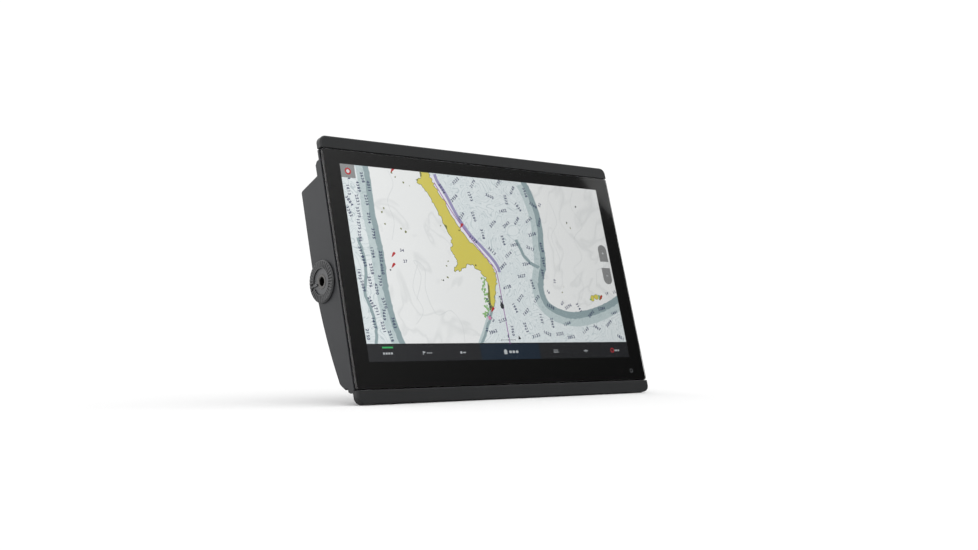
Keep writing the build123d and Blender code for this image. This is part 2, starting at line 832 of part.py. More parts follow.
board_screw_inset = 6.0
can_width = 54.0
can_depth = 44.0
can_height = 5.0
can_skin = 0.6
can_x = 75.0
can_z = 28.0
buzzer_x = -48.0
buzzer_radius = 7.0
buzzer_height = 6.5
capacitor_radius = 5.5
capacitor_height = 16.0
capacitor_pitch = 14.0
spacer_places = sum((corners(box, board_screw_inset) for box in (main_box, power_box, port_box)), [])


def make_board(box):
    x0, x1, z0, z1 = box
    board = slab(x1 - x0, z1 - z0, 2.0, board_y, board_back, (z0 + z1) / 2, (x0 + x1) / 2)
    for x, z in corners(box, 6.0):
        board -= rod(x, z, board_screw_radius + 0.2, board_y - 1, board_back + 1)
    return board


def make_board_spacers():
    spacers = []
    for x, z in spacer_places:
        spacers.append(tube(x, z, spacer_radius, board_screw_radius + thread_clear, chassis_back, board_y))
    return Compound(children=spacers)


def make_board_screws():
    return Compound(children=[screw(x, z, board_back, board_screw_radius, 7.0) for x, z in spacer_places])


def make_processor():
    return slab(chip_size, chip_size, 1.0, board_back, board_back + chip_thick, chip_z)


def make_heat_spreader():
    """Aluminium block that carries the processor's heat to the back wall."""
    face = board_back + chip_thick
    foot = slab(chip_size + 9, chip_size + 9, 2.0, face, face + 4.4, chip_z)
    post = slab(52, 50, 3.0, face + 4.4, back_inner, chip_z)
    return foot + post


def make_shield_can():
    skin = 2 * can_skin
    top = board_back + can_height
    can = slab(can_width, can_depth, 2.0, board_back, top, can_z, can_x)
    inside = slab(can_width - skin, can_depth - skin, 1.4, board_back - 1, top - can_skin, can_z, can_x)
    for row in range(3):
        for column in range(4):
            x, z = can_x + (column - 1.5) * 10, can_z + (row - 1) * 10
            can -= rod(x, z, 1.6, board_back + 3, board_back + 6)
    return can - inside


def make_buzzer():
    body = rod(buzzer_x, 0.0, buzzer_radius, board_back, board_back + buzzer_height)
    return body - rod(buzzer_x, 0.0, 1.2, board_back + 4, board_back + 8)


def make_power_inductor():
    coil = slab(22, 22, 3.0, board_back, board_back + 10, 3.0, -145.0)
    return coil + rod(-145.0, 3.0, 8.0, board_back + 9, board_back + 11)


def make_power_capacitors():
    top = board_back + capacitor_height
    places = [-120.0 + capacitor_pitch * n for n in range(3)]
    return Compound(children=[rod(x, 3.0, capacitor_radius, board_back, top) for x in places])


def gnss_foot():
    """Height of the aerial board's underside, so that the patch clears the sloping deck."""
    return deck_top_back - wall - gnss_room


def make_gnss_board():
    z = gnss_foot()
    x0, x1 = gnss_x - gnss_board_width / 2, gnss_x + gnss_board_width / 2
    back = back_inner - gnss_gap
    return block(x0, x1, back - gnss_board_depth, back, z, z + gnss_board_thick)


def make_gnss_patch():
    half = gnss_patch_size / 2
    middle = back_inner - gnss_gap - gnss_board_depth / 2
    z = gnss_foot() + gnss_board_thick
    patch = block(gnss_x - half, gnss_x + half, middle - half, middle + half, z, z + gnss_patch_thick)
    return chamfer(patch.edges().filter_by(Axis.Z), 1.0)


def make_display_ribbon():
    rise = block(ribbon_x - 30, ribbon_x + 30, tray_back, board_back + 0.3, ribbon_z - 0.15, ribbon_z + 0.15)
    lap = block(ribbon_x - 30, ribbon_x + 30, board_back, board_back + 0.3, ribbon_z, main_box[2] + 5)
    return rise + lap


def make_touch_ribbon():
    low = opening_bottom + 0.2
    x0, x1 = -54.0, -38.0
    lead = block(x0, x1, tape_front, chassis_back + 1, low, low + 0.25)
    climb = block(x0, x1, chassis_back + 0.75, chassis_back + 1, low, ribbon_z)
    cross = block(x0, x1, chassis_back + 0.75, board_back + 0.25, ribbon_z - 0.25, ribbon_z)
    lap = block(x0, x1, board_back, board_back + 0.25, ribbon_z - 0.25, main_box[2] + 5)
    return lead + climb + cross + lap


# ---------------------------------------------------------------- parts list
def make_parts():
    parts = {
        "front_glass": make_front_glass(),
        "border_mask": make_border_mask(),
        "bond_tape": make_bond_tape(),
        "front_frame": make_front_frame(),
        "trim_top": make_strip(1),
        "trim_bottom": make_strip(-1),
        "key_board": make_key_board(),
        "light_sensor": make_light_sensor(),
        "power_key_guide": make_power_key_guide(),
        "lcd_panel": make_lcd_panel(),
        "diffuser_sheet": make_diffuser_sheet(),
        "light_guide": make_light_guide(),
        "backlight_tray": make_backlight_tray(),
        "chassis_plate": make_chassis_plate(),
        "rear_housing": make_rear_housing(),
        "connector_tray": make_connector_tray(),
        "card_tray": make_card_tray(),
        "case_seal": seal_ring(),
        "case_screws": make_case_screws(),
        "rosette_left": make_rosette(-1),
        "rosette_right": make_rosette(1),
        "bail_insert_left": make_bail_insert(-1),
        "bail_insert_right": make_bail_insert(1),
        "port_insulators": make_port_insulators(),
        "port_pins": make_port_pins(),
        "port_nuts": make_port_nuts(),
        "card_door": make_card_door(),
        "card_door_seal": make_card_door_seal(),
        "card_door_pin": make_card_door_pin(),
        "card_board": make_card_board(),
        "card_sockets": make_card_sockets(),
        "heat_sink": make_heat_sink(),
        "heat_sink_screws": make_heat_sink_screws(),
        "vent_plug": make_vent_plug(),
        "ground_screw": make_ground_screw(),
        "main_board": make_board(main_box),
        "power_board": make_board(power_box),
        "connector_board": make_board(port_box),
        "board_spacers": make_board_spacers(),
        "board_screws": make_board_screws(),
        "processor": make_processor(),
        "heat_spreader": make_heat_spreader(),
        "shield_can": make_shield_can(),
        "buzzer": make_buzzer(),
        "power_inductor": make_power_inductor(),
        "power_capacitors": make_power_capacitors(),
        "gnss_board": make_gnss_board(),
        "gnss_patch": make_gnss_patch(),
        "display_ribbon": make_display_ribbon(),
        "touch_ribbon": make_touch_ribbon(),
    }
    for number, port in enumerate(ports):
        parts[port[0]] = make_port(number)
        parts[port[0].replace("port", "cap")] = make_port_cap(number)
    return parts


os.makedirs("parts", exist_ok=True)
for name, solid in make_parts().items():
    export_step(solid, "parts/" + name + ".step")
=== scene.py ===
"""Looks of the chartplotter display.  Everything is in metres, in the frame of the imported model:
X to the right seen from the front, Y to the back, Z up along the screen."""
import math
import random

import bmesh
import bpy
from mathutils import Matrix, Vector


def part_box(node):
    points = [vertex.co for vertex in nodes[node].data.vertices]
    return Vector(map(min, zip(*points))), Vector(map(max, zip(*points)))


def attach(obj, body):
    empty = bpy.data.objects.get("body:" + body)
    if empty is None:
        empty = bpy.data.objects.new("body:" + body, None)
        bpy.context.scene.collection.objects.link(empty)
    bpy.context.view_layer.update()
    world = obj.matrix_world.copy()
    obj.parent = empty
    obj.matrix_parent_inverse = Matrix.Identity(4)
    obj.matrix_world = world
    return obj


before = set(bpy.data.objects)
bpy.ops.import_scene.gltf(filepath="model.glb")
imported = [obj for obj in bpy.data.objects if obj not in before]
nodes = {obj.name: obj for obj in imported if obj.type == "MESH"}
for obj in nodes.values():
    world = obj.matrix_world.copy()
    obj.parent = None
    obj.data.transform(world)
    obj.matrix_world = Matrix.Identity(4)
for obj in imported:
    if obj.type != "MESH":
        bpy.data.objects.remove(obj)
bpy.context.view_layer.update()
scene = bpy.context.scene

MM = 0.001

# The display leans back by this much on the table, so the room's upright leans forward in its frame.
LEAN = math.radians(14.56)
ROOM_UP = Vector((0, -math.sin(LEAN), math.cos(LEAN)))
ROOM_BACK = Vector((0, math.cos(LEAN), math.sin(LEAN)))
ROOM_RIGHT = Vector((1, 0, 0))

# Camera, low and to the front left.
CAMERA_PLACE = Vector((-834.4, -923.5, -310.2)) * MM
CAMERA_AIM = Vector((-5.2, -0.9, -1.5)) * MM
CAMERA_LENS = 46.12
CAMERA_ROLL = math.radians(-0.34)

# The lit picture: its margin inside the display panel, and the gap in front of it that holds the layers.
PICTURE_MARGIN = 4.9
LAYERS = 14
MENU_HEIGHT = 17.2

# Light of the room on matt surfaces, and the soft box as exp(level + direction . slope).
WORLD_FILL = 1.08
SOFTBOX_SLOPE = (-6.0, 0.0, 4.0)
SOFTBOX_LEVEL = 1.45
SOFTBOX_MOST = 2.3
SOFTBOX_LEAST = 0.07


# ---------------------------------------------------------------- room
def look(place, aim, roll=0.0):
    """The rotation that looks from place to aim, with the room upright but for the roll."""
    ahead = (aim - place).normalized()
    level = ahead.cross(ROOM_UP).normalized()
    right = level * math.cos(roll) + level.cross(ahead) * math.sin(roll)
    return Matrix((right, right.cross(ahead), -ahead)).transposed().to_euler()


def in_room(right, back, up):
    return ROOM_RIGHT * right + ROOM_BACK * back + ROOM_UP * up


def make_camera():
    camera = bpy.data.objects.new("camera", bpy.data.cameras.new("camera"))
    camera.location = CAMERA_PLACE
    camera.rotation_euler = look(CAMERA_PLACE, CAMERA_AIM, CAMERA_ROLL)
    camera.data.lens = CAMERA_LENS
    camera.data.clip_start = 0.01
    camera.data.clip_end = 100.0
    scene.collection.objects.link(camera)
    scene.camera = camera


def linear(hex_colour):
    """An sRGB hex colour as linear red, green, blue and alpha."""
    parts = [int(hex_colour[i:i + 2], 16) / 255 for i in (1, 3, 5)]
    return [c / 12.92 if c <= 0.04045 else ((c + 0.055) / 1.055) ** 2.4 for c in parts] + [1.0]


def add(tree, kind, fields=None, sockets=None):
    """Adds one node. fields are its own settings; sockets are its inputs, values or other nodes' outputs."""
    node = tree.nodes.new(kind)
    for name, value in (fields or {}).items():
        setattr(node, name, value)
    for name, value in (sockets or {}).items():
        if isinstance(value, bpy.types.NodeSocket):
            tree.links.new(value, node.inputs[name])
        else:
            node.inputs[name].default_value = value
    return node


def make_world():
    """White room.  In mirrors it shows one large soft box up to the left, which fades to the right."""
    world = bpy.data.worlds.new("white_room")
    scene.world = world
    world.use_nodes = True
    tree = world.node_tree
    tree.nodes.clear()
    seen = add(tree, "ShaderNodeBackground", sockets={"Color": (1, 1, 1, 1), "Strength": 1.05})
    fill = add(tree, "ShaderNodeBackground", sockets={"Color": (1, 1, 1, 1), "Strength": WORLD_FILL})
    way = add(tree, "ShaderNodeTexCoord").outputs["Generated"]
    slope = add(tree, "ShaderNodeVectorMath", {"operation": "DOT_PRODUCT"}, {0: way, 1: SOFTBOX_SLOPE})
    level = add(tree, "ShaderNodeMath", {"operation": "ADD"}, {0: slope.outputs["Value"], 1: SOFTBOX_LEVEL})
    glow = add(tree, "ShaderNodeMath", {"operation": "EXPONENT"}, {0: level.outputs[0]})
    top = add(tree, "ShaderNodeMath", {"operation": "MINIMUM"}, {0: glow.outputs[0], 1: SOFTBOX_MOST})
    low = add(tree, "ShaderNodeMath", {"operation": "MAXIMUM"}, {0: top.outputs[0], 1: SOFTBOX_LEAST})
    mirrored = add(tree, "ShaderNodeBackground", sockets={"Color": (1, 1, 1, 1), "Strength": low.outputs[0]})
    path = add(tree, "ShaderNodeLightPath")
    glossy = add(tree, "ShaderNodeMixShader",
                 sockets={0: path.outputs["Is Glossy Ray"], 1: fill.outputs[0], 2: mirrored.outputs[0]})
    shown = add(tree, "ShaderNodeMixShader",
                sockets={0: path.outputs["Is Camera Ray"], 1: glossy.outputs[0], 2: seen.outputs[0]})
    add(tree, "ShaderNodeOutputWorld", sockets={"Surface": shown.outputs[0]})
    scene.view_settings.view_transform = "Standard"
    scene.view_settings.look = "None"


def make_light(name, place, size, power):
    """A soft box that faces the display."""
    data = bpy.data.lights.new(name, "AREA")
    data.shape = "DISK"
    data.size = size
    data.energy = power
    light = bpy.data.objects.new(name, data)
    light.location = place
    light.rotation_euler = look(place, Vector((0, 0, 0)))
    scene.collection.objects.link(light)


def make_floor():
    """The white table under the display, square to the room.  From below it is clear."""
    lowest = min(ROOM_UP.dot(v.co) for node in nodes.values() for v in node.data.vertices)
    reach = 4.0
    mesh = bpy.data.meshes.new("floor")
    corners = [in_room(x * reach, y * reach, lowest - 0.2 * MM) for x, y in ((-1, -1), (1, -1), (1, 1), (-1, 1))]
    mesh.from_pydata(corners, [], [(0, 1, 2, 3)])
    floor = bpy.data.objects.new("floor", mesh)
    scene.collection.objects.link(floor)
    made = bpy.data.materials.new("white_table")
    made.use_nodes = True
    tree = made.node_tree
    tree.nodes.clear()
    white = add(tree, "ShaderNodeBsdfDiffuse", sockets={"Color": linear("#FAFAFA")})
    clear = add(tree, "ShaderNodeBsdfTransparent")
    under = add(tree, "ShaderNodeNewGeometry").outputs["Backfacing"]
    side = add(tree, "ShaderNodeMixShader", sockets={0: under, 1: white.outputs[0], 2: clear.outputs[0]})
    add(tree, "ShaderNodeOutputMaterial", sockets={"Surface": side.outputs[0]})
    mesh.materials.append(made)


# ---------------------------------------------------------------- finishes
# How far every opaque finish's roughness strays from its own value.
UNEVEN = 0.06

# The land around the bail bush is coloured pale out to the first radius; the dark ring begins at the second, in mm.
PALE_LAND_RADIUS = 11.6
RING_BEGINS = 12.9


def begin(name):
    """A new material: its tree and its Principled shader, joined to the output."""
    made = bpy.data.materials.new(name)
    made.use_nodes = True
    tree = made.node_tree
    tree.nodes.clear()
    shader = add(tree, "ShaderNodeBsdfPrincipled")
    add(tree, "ShaderNodeOutputMaterial", sockets={"Surface": shader.outputs[0]})
    return made, tree, shader


def per_metre(size_mm):
    """Scale of a texture whose features are this many millimetres across."""
    return 1.0 / (size_mm * MM)


def finish(name, colour, tint, rough, grain, depth, edge=0.3, patch=30.0, metal=0.0, gloss=0.5,
           stretch=(1, 1, 1)):
    """An opaque finish.  colour and tint meet in soft patches, patch mm across; the surface has a grain,
    grain mm across and depth mm high, a slightly uneven roughness, and edges eased by edge mm."""
    made, tree, shader = begin(name)
    place = add(tree, "ShaderNodeTexCoord").outputs["Object"]
    drawn = add(tree, "ShaderNodeMapping", sockets={"Vector": place, "Scale": stretch}).outputs[0]
    soft = add(tree, "ShaderNodeTexNoise", sockets={"Vector": place, "Scale": per_metre(patch), "Detail": 3.0})
    fine = add(tree, "ShaderNodeTexNoise", sockets={"Vector": drawn, "Scale": per_metre(grain), "Detail": 4.0})
    mixed = add(tree, "ShaderNodeMix", {"data_type": "RGBA"},
                {0: soft.outputs["Fac"], 6: linear(colour), 7: linear(tint)})
    worn = add(tree, "ShaderNodeMapRange",
               sockets={"Value": fine.outputs["Fac"], "To Min": rough - UNEVEN, "To Max": rough + UNEVEN})
    eased = add(tree, "ShaderNodeBevel", {"samples": 4}, {"Radius": edge * MM})
    bump = add(tree, "ShaderNodeBump", sockets={"Strength": 1.0, "Distance": depth * MM,
               "Height": fine.outputs["Fac"], "Normal": eased.outputs[0]})
    tree.links.new(mixed.outputs[2], shader.inputs["Base Color"])
    tree.links.new(worn.outputs[0], shader.inputs["Roughness"])
    tree.links.new(bump.outputs[0], shader.inputs["Normal"])
    shader.inputs["Metallic"].default_value = metal
    shader.inputs["Specular IOR Level"].default_value = gloss
    return made


def powder_coat():
    # Die-cast aluminium, powder-coated dark grey: matt, with the fine orange peel of baked powder.
    return finish("powder_coated_die_casting", "#2E2F31", "#353638", 0.52, 1.1, 0.035, edge=0.5, gloss=0.2)


def strip_abs():
    # Injection-moulded ABS with a spark-eroded texture: an even, slightly silky dark grey.
    return finish("textured_abs", "#1E1F20", "#242526", 0.46, 0.8, 0.02, edge=0.35, gloss=0.2)


def rosette_nylon():
    # Glass-filled nylon, moulded: a dark, dull ring, with the land inside it coloured paler than the ring.
    made = finish("glass_filled_nylon", "#1C1D1F", "#242527", 0.5, 0.7, 0.03, edge=0.15, patch=4.0)
    tree = made.node_tree
    shader = next(n for n in tree.nodes if n.type == "BSDF_PRINCIPLED")
    bush_low, bush_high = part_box("bail_insert_left")
    middle = (bush_low + bush_high) / 2
    place = add(tree, "ShaderNodeTexCoord").outputs["Object"]
    from_middle = add(tree, "ShaderNodeVectorMath", {"operation": "SUBTRACT"}, {0: place, 1: middle})
    across = add(tree, "ShaderNodeVectorMath", {"operation": "MULTIPLY"}, {0: from_middle.outputs[0], 1: (0, 1, 1)})
    reach = add(tree, "ShaderNodeVectorMath", {"operation": "LENGTH"}, {0: across.outputs[0]})
    # The land is coloured paler out to the first radius and blends into the ring's dark colour by the second.
    pale_land = add(tree, "ShaderNodeMapRange", sockets={"Value": reach.outputs["Value"], "From Min": PALE_LAND_RADIUS * MM,
                 "From Max": RING_BEGINS * MM, "To Min": 1.0, "To Max": 0.0})
    dark = shader.inputs["Base Color"].links[0].from_socket
    shown = add(tree, "ShaderNodeMix", {"data_type": "RGBA"}, {0: pale_land.outputs[0], 6: dark, 7: linear("#3E3F41")})
    tree.links.new(shown.outputs[2], shader.inputs["Base Color"])
    return made


def bush_brass():
    # Brass turned on a lathe and blackened: a dark metal with fine turning marks.
    return finish("blackened_brass_bush", "#444342", "#525150", 0.38, 0.4, 0.01, edge=0.15, metal=1.0)


def soft_rubber():
    # Moulded EPDM rubber: deep, chalky black that breaks up highlights.
    return finish("moulded_epdm_rubber", "#242526", "#2D2E2F", 0.68, 0.9, 0.03, edge=0.35, patch=9.0, gloss=0.35)


def foam():
    # Closed-cell acrylic foam tape: matt black with open cells at its cut edge.
    return finish("black_foam_tape", "#101011", "#17171A", 0.85, 0.5, 0.05, edge=0.1, patch=3.0, gloss=0.2)


def connector_pbt():
    # Moulded PBT of the connector barrels: hard and slightly glossy black.
    return finish("moulded_pbt", "#1E1F21", "#26272A", 0.36, 0.6, 0.012, edge=0.2, patch=6.0)


def tray_pbt():
    # Glass-filled PBT of the trays behind the connectors and cards: dark grey, dull, faintly mottled by fibres.
    return finish("glass_filled_pbt", "#2C2D2F", "#353638", 0.5, 0.8, 0.025, edge=0.3, patch=9.0)


def insulator_pps():
    # Black PPS blocks that hold the contacts: duller than the barrels around them.
    return finish("moulded_pps", "#151517", "#1C1C1F", 0.55, 0.5, 0.012, edge=0.1, patch=4.0)


def anodised_fins():
    # Extruded aluminium, black anodised: dark metal with drawn lines along the fins.
    return finish("black_anodised_extrusion", "#323436", "#3C3E41", 0.34, 0.5, 0.008, edge=0.25, metal=0.85,
                  stretch=(1, 1, 0.06))


def stainless_screws():
    # A2 stainless steel, cold-headed: pale grey metal with small rolling marks.
    return finish("stainless_steel_screws", "#A8A8A6", "#BDBDBA", 0.3, 0.35, 0.006, edge=0.12, metal=1.0, patch=2.0)


def gold_pins():
    # Gold flashed on brass contacts: warm, smooth metal.
    return finish("gold_plated_contacts", "#D9B15A", "#E4C173", 0.22, 0.3, 0.003, edge=0.08, metal=1.0, patch=1.5)


def nickel_nuts():
    # Nickel plate over brass: bright grey with a faint yellow cast.
    return finish("nickel_plated_brass", "#B9B4A6", "#C8C4B8", 0.28, 0.4, 0.005, edge=0.15, metal=1.0, patch=4.0)


def zinc_steel():
    # Zinc-plated steel pressings: pale, spangled metal.
    return finish("zinc_plated_steel", "#A5A9AC", "#BBBFC1", 0.34, 1.5, 0.006, edge=0.2, metal=1.0, patch=7.0)


def mill_aluminium():
    # Rolled aluminium sheet as it comes: pale metal with long rolling lines.
    return finish("rolled_aluminium", "#B8BABC", "#C6C8CA", 0.36, 0.6, 0.006, edge=0.2, metal=1.0,
                  stretch=(0.05, 1, 1))


def solder_mask():
    # Glass-fibre laminate under green solder mask: glossy, with the weave just showing.
    return finish("green_solder_mask", "#0F4A2C", "#17603A", 0.28, 0.6, 0.01, edge=0.1, patch=3.0)


def epoxy_chip():
    # Epoxy moulding compound of chips and the buzzer: dark grey, sanded-looking.
    return finish("epoxy_moulding_compound", "#202124", "#2A2B2E", 0.62, 0.3, 0.01, edge=0.12, patch=5.0)


def antenna_ceramic():
    # Fired dielectric ceramic of the antenna: biscuit-coloured and matt.
    return finish("fired_ceramic", "#B9A98C", "#C7B99D", 0.7, 0.5, 0.01, edge=0.15, patch=5.0)


def capacitor_sleeve():
    # Shrink-sleeved capacitors: glossy dark blue film over the can.
    return finish("shrink_sleeve", "#1B2140", "#232B50", 0.25, 0.8, 0.01, edge=0.2, patch=6.0)


def ferrite_core():
    # Pressed and sintered ferrite: dark, dusty grey.
    return finish("sintered_ferrite", "#3A3B3D", "#454648", 0.75, 0.4, 0.02, edge=0.2, patch=5.0)


def amber_film():
    # Polyimide ribbon: amber film over copper tracks.
    return finish("polyimide_ribbon", "#8A5A1E", "#9C6A2A", 0.3, 0.5, 0.003, edge=0.02, stretch=(1, 0.05, 0.05))


def diffuser_film():
    # Stacked white diffuser film behind the panel.
    return finish("diffuser_film", "#E6E8EA", "#F0F1F2", 0.6, 0.4, 0.003, edge=0.05)


def acrylic_plate():
    # Cast acrylic plate that spreads the light: nearly clear, seen only at its edge.
    return finish("cast_acrylic", "#D5E0E2", "#E2EBEC", 0.12, 0.8, 0.003, edge=0.1)


def sensor_window():
    # Smoked polycarbonate over the light sensor.
    return finish("smoked_polycarbonate", "#2E2429", "#3A2E34", 0.12, 0.4, 0.002, edge=0.1, patch=2.0)


def black_ink():
    # Screen-printed ceramic ink on the glass's back: flat, deep black, with a trace of print mottle.
    return finish("ceramic_ink", "#0C0C0D", "#101011", 0.5, 0.6, 0.002, edge=0.02, patch=8.0, gloss=0.3)


def panel_face():
    # The switched-off face of the display panel around the picture: black polariser film.
    return finish("polariser_film", "#08090A", "#0C0D0F", 0.3, 0.5, 0.001, edge=0.05)


def milky_guide():
    # Milky acrylic behind the power symbol, lit dimly from its board.
    made = finish("milky_acrylic", "#9A9DA1", "#A6A9AD", 0.4, 0.5, 0.002, edge=0.1, patch=2.0)
    shader = next(n for n in made.node_tree.nodes if n.type == "BSDF_PRINCIPLED")
    shader.inputs["Emission Color"].default_value = linear("#D8DADC")
    shader.inputs["Emission Strength"].default_value = 0.12
    return made


def cover_glass():
    # Toughened glass: clear, with ground edges that scatter light and faces that mirror the room.
    made, tree, shader = begin("toughened_glass")
    place = add(tree, "ShaderNodeTexCoord")
    facing = add(tree, "ShaderNodeSeparateXYZ", sockets={0: place.outputs["Normal"]})
    flat = add(tree, "ShaderNodeMath", {"operation": "ABSOLUTE"}, {0: facing.outputs["Y"]})
    ground = add(tree, "ShaderNodeMapRange", sockets={"Value": flat.outputs[0], "From Min": 0.6, "From Max": 0.95,
                 "To Min": 0.45, "To Max": 0.03})
    smear = add(tree, "ShaderNodeTexNoise",
                sockets={"Vector": place.outputs["Object"], "Scale": per_metre(45.0), "Detail": 2.0})
    haze = add(tree, "ShaderNodeMath", {"operation": "MULTIPLY"}, {0: smear.outputs["Fac"], 1: 0.03})
    rough = add(tree, "ShaderNodeMath", {"operation": "ADD"}, {0: ground.outputs[0], 1: haze.outputs[0]})
    tree.links.new(rough.outputs[0], shader.inputs["Roughness"])
    shader.inputs["Base Color"].default_value = linear("#FCFEFE")
    shader.inputs["Transmission Weight"].default_value = 1.0
    shader.inputs["IOR"].default_value = 1.5
    return made


FINISHES = {
    cover_glass: ["front_glass"],
    black_ink: ["border_mask"],
    foam: ["bond_tape"],
    powder_coat: ["front_frame", "rear_housing"],
    strip_abs: ["trim_top", "trim_bottom", "card_door"],
    rosette_nylon: ["rosette_left", "rosette_right"],
    bush_brass: ["bail_insert_left", "bail_insert_right"],
    soft_rubber: ["power_cap", "bus_cap", "network_cap_a", "network_cap_b", "sonar_cap", "case_seal",
                  "card_door_seal", "vent_plug"],
    connector_pbt: ["power_port", "bus_port", "network_port_a", "network_port_b", "sonar_port"],
    tray_pbt: ["connector_tray", "card_tray"],
    insulator_pps: ["port_insulators"],
    gold_pins: ["port_pins"],
    nickel_nuts: ["port_nuts", "board_spacers"],
    anodised_fins: ["heat_sink"],
    stainless_screws: ["case_screws", "heat_sink_screws", "ground_screw", "board_screws", "card_door_pin"],
    zinc_steel: ["backlight_tray", "shield_can", "card_sockets"],
    mill_aluminium: ["chassis_plate", "heat_spreader"],
    solder_mask: ["main_board", "power_board", "connector_board", "key_board", "card_board", "gnss_board"],
    epoxy_chip: ["processor", "buzzer"],
    antenna_ceramic: ["gnss_patch"],
    capacitor_sleeve: ["power_capacitors"],
    ferrite_core: ["power_inductor"],
    amber_film: ["display_ribbon", "touch_ribbon"],
    diffuser_film: ["diffuser_sheet"],
    acrylic_plate: ["light_guide"],
    sensor_window: ["light_sensor"],
    panel_face: ["lcd_panel"],
    milky_guide: ["power_key_guide"],
}


def dress_nodes():
    """Gives every CAD piece its finish."""
    for make, names in FINISHES.items():
        made = make()
        for name in names:
            slots = nodes[name].material_slots
            if not slots:
                nodes[name].data.materials.append(made)
            for slot in slots:
                slot.material = made


# ---------------------------------------------------------------- lit picture
glass_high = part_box("front_glass")[1]
panel_low, panel_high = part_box("lcd_panel")
PICTURE_LEFT = panel_low.x + PICTURE_MARGIN * MM
PICTURE_FOOT = panel_low.z + PICTURE_MARGIN * MM
PICTURE_WIDTH = (panel_high.x - panel_low.x) / MM - 2 * PICTURE_MARGIN
PICTURE_HEIGHT = (panel_high.z - panel_low.z) / MM - 2 * PICTURE_MARGIN
LAYER_STEP = (panel_low.y - glass_high.y) / (LAYERS + 2)


def spot(u, v, layer):
    """A point of the picture: u and v in mm from its lower left corner, layer 0 nearest the panel."""
    depth = panel_low.y - (layer + 1) * LAYER_STEP
    return Vector((PICTURE_LEFT + u * MM, depth, PICTURE_FOOT + v * MM))


def lit(name, colour, tint, patch=12.0, lines=0.0, line_colour="#9FA9AD", swell=0.0):
    """Light of a part of the picture.  colour and tint meet in patches; lines is the spacing of depth
    contours as a share of the sea bed's relief, swell the size of that relief in mm.  The picture's light is
    painted dimmer towards its right edge, down to four fifths there: painted shade."""
    made, tree, shader = begin(name)
    place = add(tree, "ShaderNodeTexCoord").outputs["Object"]
    across = add(tree, "ShaderNodeSeparateXYZ", sockets={0: place})
    # Painted shade: the picture's light is dimmed from full at its left edge to 0.8 at its right edge.
    painted_dimming = add(tree, "ShaderNodeMapRange", sockets={"Value": across.outputs["X"], "From Min": PICTURE_LEFT,
               "From Max": PICTURE_LEFT + PICTURE_WIDTH * MM, "To Min": 1.0, "To Max": 0.8})
    soft = add(tree, "ShaderNodeTexNoise",
               sockets={"Vector": place, "Scale": per_metre(patch), "Detail": 5.0, "Distortion": 0.6})
    shown = add(tree, "ShaderNodeMix", {"data_type": "RGBA"},
                {0: soft.outputs["Fac"], 6: linear(colour), 7: linear(tint)}).outputs[2]
    if lines:
        bed = add(tree, "ShaderNodeTexNoise",
                  sockets={"Vector": place, "Scale": per_metre(swell), "Detail": 2.5, "Distortion": 1.2})
        fold = add(tree, "ShaderNodeMath", {"operation": "PINGPONG"}, {0: bed.outputs["Fac"], 1: lines})
        thin = add(tree, "ShaderNodeMapRange", sockets={"Value": fold.outputs[0], "From Min": 0.0,
                   "From Max": lines * 0.3, "To Min": 0.6, "To Max": 0.0})
        shown = add(tree, "ShaderNodeMix", {"data_type": "RGBA"},
                    {0: thin.outputs[0], 6: shown, 7: linear(line_colour)}).outputs[2]
    dimmed = add(tree, "ShaderNodeVectorMath", {"operation": "SCALE"}, {0: shown, "Scale": painted_dimming.outputs[0]})
    tree.links.new(dimmed.outputs[0], shader.inputs["Emission Color"])
    shader.inputs["Emission Strength"].default_value = 1.0
    shader.inputs["Base Color"].default_value = (0, 0, 0, 1)
    shader.inputs["Specular IOR Level"].default_value = 0.0
    made.cycles.emission_sampling = "NONE"
    return made


def show(name, outlines, layer, made):
    """One printed colour of the picture: filled outlines, each a list of (u, v), as one flat piece."""
    shape = bmesh.new()
    for outline in outlines:
        face = shape.faces.new([shape.verts.new(spot(u, v, layer)) for u, v in outline])
        face.normal_update()
        if face.normal.y > 0:
            face.normal_flip()
    bmesh.ops.triangulate(shape, faces=shape.faces[:], ngon_method="EAR_CLIP")
    mesh = bpy.data.meshes.new(name)
    shape.to_mesh(mesh)
    shape.free()
    piece = bpy.data.objects.new(name, mesh)
    scene.collection.objects.link(piece)
    mesh.materials.append(made)
    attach(piece, "unit")
    return piece


def clip(value, low, high):
    return max(low, min(high, value))


def inside_map(u, v):
    return clip(u, 0.0, PICTURE_WIDTH), clip(v, MENU_HEIGHT, PICTURE_HEIGHT)


def curve_through(points, steps=8, closed=False):
    """A smooth line through points (Catmull-Rom)."""
    count = len(points)
    line = []
    for i in range(count if closed else count - 1):
        if closed:
            a, b, c, d = (points[(i + k) % count] for k in (-1, 0, 1, 2))
        else:
            a, b, c, d = (points[int(clip(i + k, 0, count - 1))] for k in (-1, 0, 1, 2))
        for step in range(steps):
            t = step / steps
            line.append(tuple(
                0.5 * (2 * q + (r - p) * t + (2 * p - 5 * q + 4 * r - s) * t**2 + (3 * q - p - 3 * r + s) * t**3)
                for p, q, r, s in zip(a, b, c, d)))
    if not closed:
        line.append(points[-1])
    return line


def ragged(line, size, seed):
    """The same line with a natural, uneven edge."""
    chance = random.Random(seed)
    return [(u + chance.gauss(0, size), v + chance.gauss(0, size)) for u, v in line]


def band(line, left, right):
    """The outline of a strip along a line, left and right mm wide on each side."""
    sides = ([], [])
    for i, (u, v) in enumerate(line):
        before, after = line[max(i - 1, 0)], line[min(i + 1, len(line) - 1)]
        du, dv = after[0] - before[0], after[1] - before[1]
        size = math.hypot(du, dv) or 1.0
        sides[0].append((u - dv / size * left, v + du / size * left))
        sides[1].append((u + dv / size * right, v - du / size * right))
    return sides[0] + sides[1][::-1]


def rectangle(u0, v0, u1, v1):
    return [(u0, v0), (u1, v0), (u1, v1), (u0, v1)]


